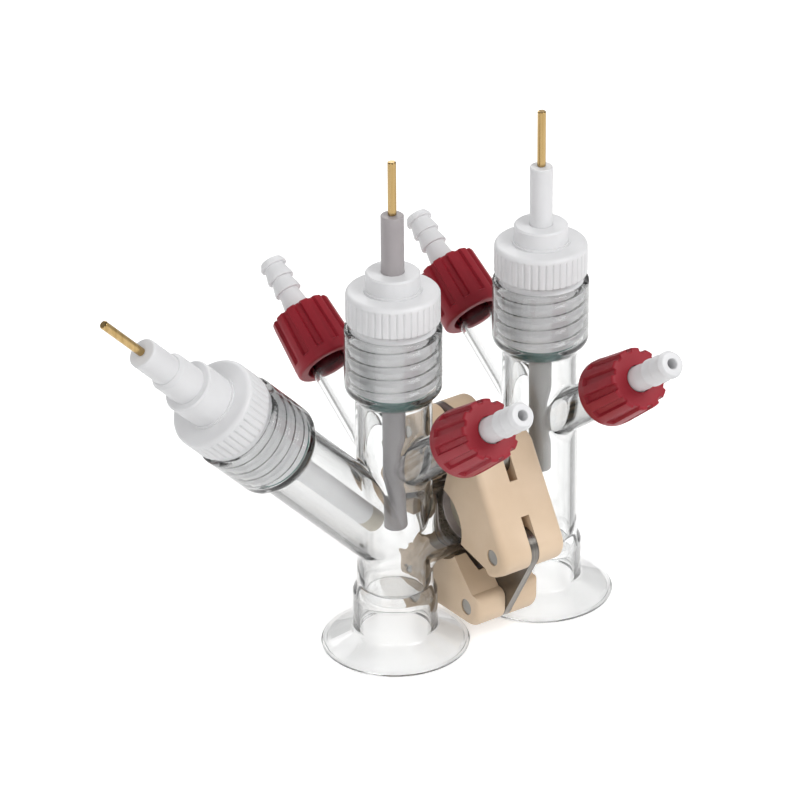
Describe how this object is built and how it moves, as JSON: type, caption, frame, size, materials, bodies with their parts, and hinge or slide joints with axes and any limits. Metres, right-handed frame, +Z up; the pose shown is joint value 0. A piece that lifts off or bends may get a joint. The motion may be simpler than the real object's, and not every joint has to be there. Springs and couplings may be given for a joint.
{
  "type": "electrochemical cell",
  "caption": "Glass electrochemical H-cell with threaded electrode ports, angled hose arms, footed half-cells and a chain-clamped flange joint.",
  "frame": {"origin": "centre of half-cell A's foot, on the bench", "axes": "+Z up along the half-cell's tube, +X from half-cell A to half-cell B"},
  "size_m": [0.1784, 0.1304, 0.1609],
  "materials": {
    "borosilicate_glass": "clear, fire polished",
    "silicone": "matt, pale lilac",
    "membrane": "thin sheet",
    "white_polymer": "machined, satin white",
    "teal_rubber": "matt",
    "gold": "gold plated, polished",
    "grey_rod": "satin grey",
    "frit": "porous, beige",
    "crimson_plastic": "moulded, satin",
    "beige_polymer": "machined, satin",
    "steel": "brushed"
  },
  "bodies": {
    "cell": {"glass_body_a": "borosilicate_glass", "glass_body_b": "borosilicate_glass", "glass_foot_a": "borosilicate_glass", "glass_foot_b": "borosilicate_glass", "flange_gasket_a": "silicone", "flange_gasket_b": "silicone", "membrane": "membrane", "clamp_segment_front": "beige_polymer", "clamp_segment_low": "beige_polymer", "clamp_segment_back": "beige_polymer", "link_front": "steel", "link_top": "steel", "chain_pin_front_low": "steel", "chain_pin_front_top": "steel", "chain_pin_back_top": "steel", "chain_pin_low_front": "steel", "chain_pin_low_back": "steel"},
    "seal_a_top": {"o_ring_a_top": "teal_rubber"},
    "plug_a_top": {"plug_a_top": "white_polymer", "gland_a_top": "white_polymer"},
    "electrode_a_top": {"rod_a_top": "grey_rod", "sleeve_a_top": "grey_rod", "contact_a_top": "gold"},
    "seal_b_top": {"o_ring_b_top": "teal_rubber"},
    "plug_b_top": {"plug_b_top": "white_polymer", "gland_b_top": "white_polymer"},
    "electrode_b_top": {"rod_b_top": "grey_rod", "sleeve_b_top": "white_polymer", "contact_b_top": "gold"},
    "seal_a_arm": {"o_ring_a_arm": "teal_rubber"},
    "plug_a_arm": {"plug_a_arm": "white_polymer", "gland_a_arm": "white_polymer"},
    "electrode_a_arm": {"reference_frit": "frit", "reference_stem": "white_polymer", "reference_cap": "white_polymer", "contact_a_arm": "gold"},
    "barb_a_front": {"barb_a_front": "white_polymer", "cap_gasket_a_front": "silicone"},
    "cap_a_front": {"cap_a_front": "crimson_plastic"},
    "barb_a_back": {"barb_a_back": "white_polymer", "cap_gasket_a_back": "silicone"},
    "cap_a_back": {"cap_a_back": "crimson_plastic"},
    "barb_b_front": {"barb_b_front": "white_polymer", "cap_gasket_b_front": "silicone"},
    "cap_b_front": {"cap_b_front": "crimson_plastic"},
    "barb_b_back": {"barb_b_back": "white_polymer", "cap_gasket_b_back": "silicone"},
    "cap_b_back": {"cap_b_back": "crimson_plastic"},
    "swing_bolt": {"swing_bolt": "steel"},
    "saddle_washer": {"saddle_washer": "steel"},
    "thumb_nut": {"thumb_nut": "steel"}
  },
  "joints": [
    {"name": "a_top_lift", "type": "slide", "parent": "cell", "child": "seal_a_top", "axis": [0, 0, 1], "range_m": [0, 0.0172]},
    {"name": "a_top_turn", "type": "hinge", "parent": "seal_a_top", "child": "plug_a_top", "pos_m": [0, 0, 0.1065], "axis": [0, 0, 1], "range_deg": [-4, 1444]},
    {"name": "a_top_electrode", "type": "slide", "parent": "seal_a_top", "child": "electrode_a_top", "axis": [0, 0, 1], "range_m": [-0.018, 0.05]},
    {"name": "b_top_lift", "type": "slide", "parent": "cell", "child": "seal_b_top", "axis": [0, 0, 1], "range_m": [0, 0.0172]},
    {"name": "b_top_turn", "type": "hinge", "parent": "seal_b_top", "child": "plug_b_top", "pos_m": [0.0546, 0, 0.1065], "axis": [0, 0, 1], "range_deg": [-4, 1444]},
    {"name": "b_top_electrode", "type": "slide", "parent": "seal_b_top", "child": "electrode_b_top", "axis": [0, 0, 1], "range_m": [-0.02, 0.05]},
    {"name": "a_arm_lift", "type": "slide", "parent": "cell", "child": "seal_a_arm", "axis": [-0.7071, 0, 0.7071], "range_m": [0, 0.0172]},
    {"name": "a_arm_turn", "type": "hinge", "parent": "seal_a_arm", "child": "plug_a_arm", "pos_m": [-0.05657, 0, 0.09287], "axis": [-0.7071, 0, 0.7071], "range_deg": [-4, 1444]},
    {"name": "a_arm_electrode", "type": "slide", "parent": "seal_a_arm", "child": "electrode_a_arm", "axis": [-0.7071, 0, 0.7071], "range_m": [0, 0.05]},
    {"name": "cap_a_front_lift", "type": "slide", "parent": "cell", "child": "barb_a_front", "axis": [0, -0.809, 0.5878], "range_m": [0, 0.01125]},
    {"name": "cap_a_front_turn", "type": "hinge", "parent": "barb_a_front", "child": "cap_a_front", "pos_m": [0, -0.04304, 0.08847], "axis": [0, -0.809, 0.5878], "range_deg": [-4, 1624]},
    {"name": "cap_a_back_lift", "type": "slide", "parent": "cell", "child": "barb_a_back", "axis": [0, 0.809, 0.5878], "range_m": [0, 0.01125]},
    {"name": "cap_a_back_turn", "type": "hinge", "parent": "barb_a_back", "child": "cap_a_back", "pos_m": [0, 0.04304, 0.08847], "axis": [0, 0.809, 0.5878], "range_deg": [-4, 1624]},
    {"name": "cap_b_front_lift", "type": "slide", "parent": "cell", "child": "barb_b_front", "axis": [0, -0.809, 0.5878], "range_m": [0, 0.01125]},
    {"name": "cap_b_front_turn", "type": "hinge", "parent": "barb_b_front", "child": "cap_b_front", "pos_m": [0.0546, -0.04304, 0.08847], "axis": [0, -0.809, 0.5878], "range_deg": [-4, 1624]},
    {"name": "cap_b_back_lift", "type": "slide", "parent": "cell", "child": "barb_b_back", "axis": [0, 0.809, 0.5878], "range_m": [0, 0.01125]},
    {"name": "cap_b_back_turn", "type": "hinge", "parent": "barb_b_back", "child": "cap_b_back", "pos_m": [0.0546, 0.04304, 0.08847], "axis": [0, 0.809, 0.5878], "range_deg": [-4, 1624]},
    {"name": "bolt_swing", "type": "hinge", "parent": "cell", "child": "swing_bolt", "pos_m": [0.0273, 0.0145, 0.0129], "axis": [-1, 0, 0], "range_deg": [0, 65]},
    {"name": "nut_slide", "type": "slide", "parent": "swing_bolt", "child": "saddle_washer", "axis": [0, 0.5, 0.866], "range_m": [0, 0.0028]},
    {"name": "nut_turn", "type": "hinge", "parent": "saddle_washer", "child": "thumb_nut", "pos_m": [0.0273, 0.0276, 0.03559], "axis": [0, 0.5, 0.866], "range_deg": [-4, 1444]}
  ],
  "couplings": [
    {"joint": "a_top_turn", "follows": "a_top_lift", "rad_per_m": 1461.2},
    {"joint": "b_top_turn", "follows": "b_top_lift", "rad_per_m": 1461.2},
    {"joint": "a_arm_turn", "follows": "a_arm_lift", "rad_per_m": 1461.2},
    {"joint": "cap_a_front_turn", "follows": "cap_a_front_lift", "rad_per_m": 2513.3},
    {"joint": "cap_a_back_turn", "follows": "cap_a_back_lift", "rad_per_m": 2513.3},
    {"joint": "cap_b_front_turn", "follows": "cap_b_front_lift", "rad_per_m": 2513.3},
    {"joint": "cap_b_back_turn", "follows": "cap_b_back_lift", "rad_per_m": 2513.3},
    {"joint": "nut_turn", "follows": "nut_slide", "rad_per_m": 8976}
  ]
}
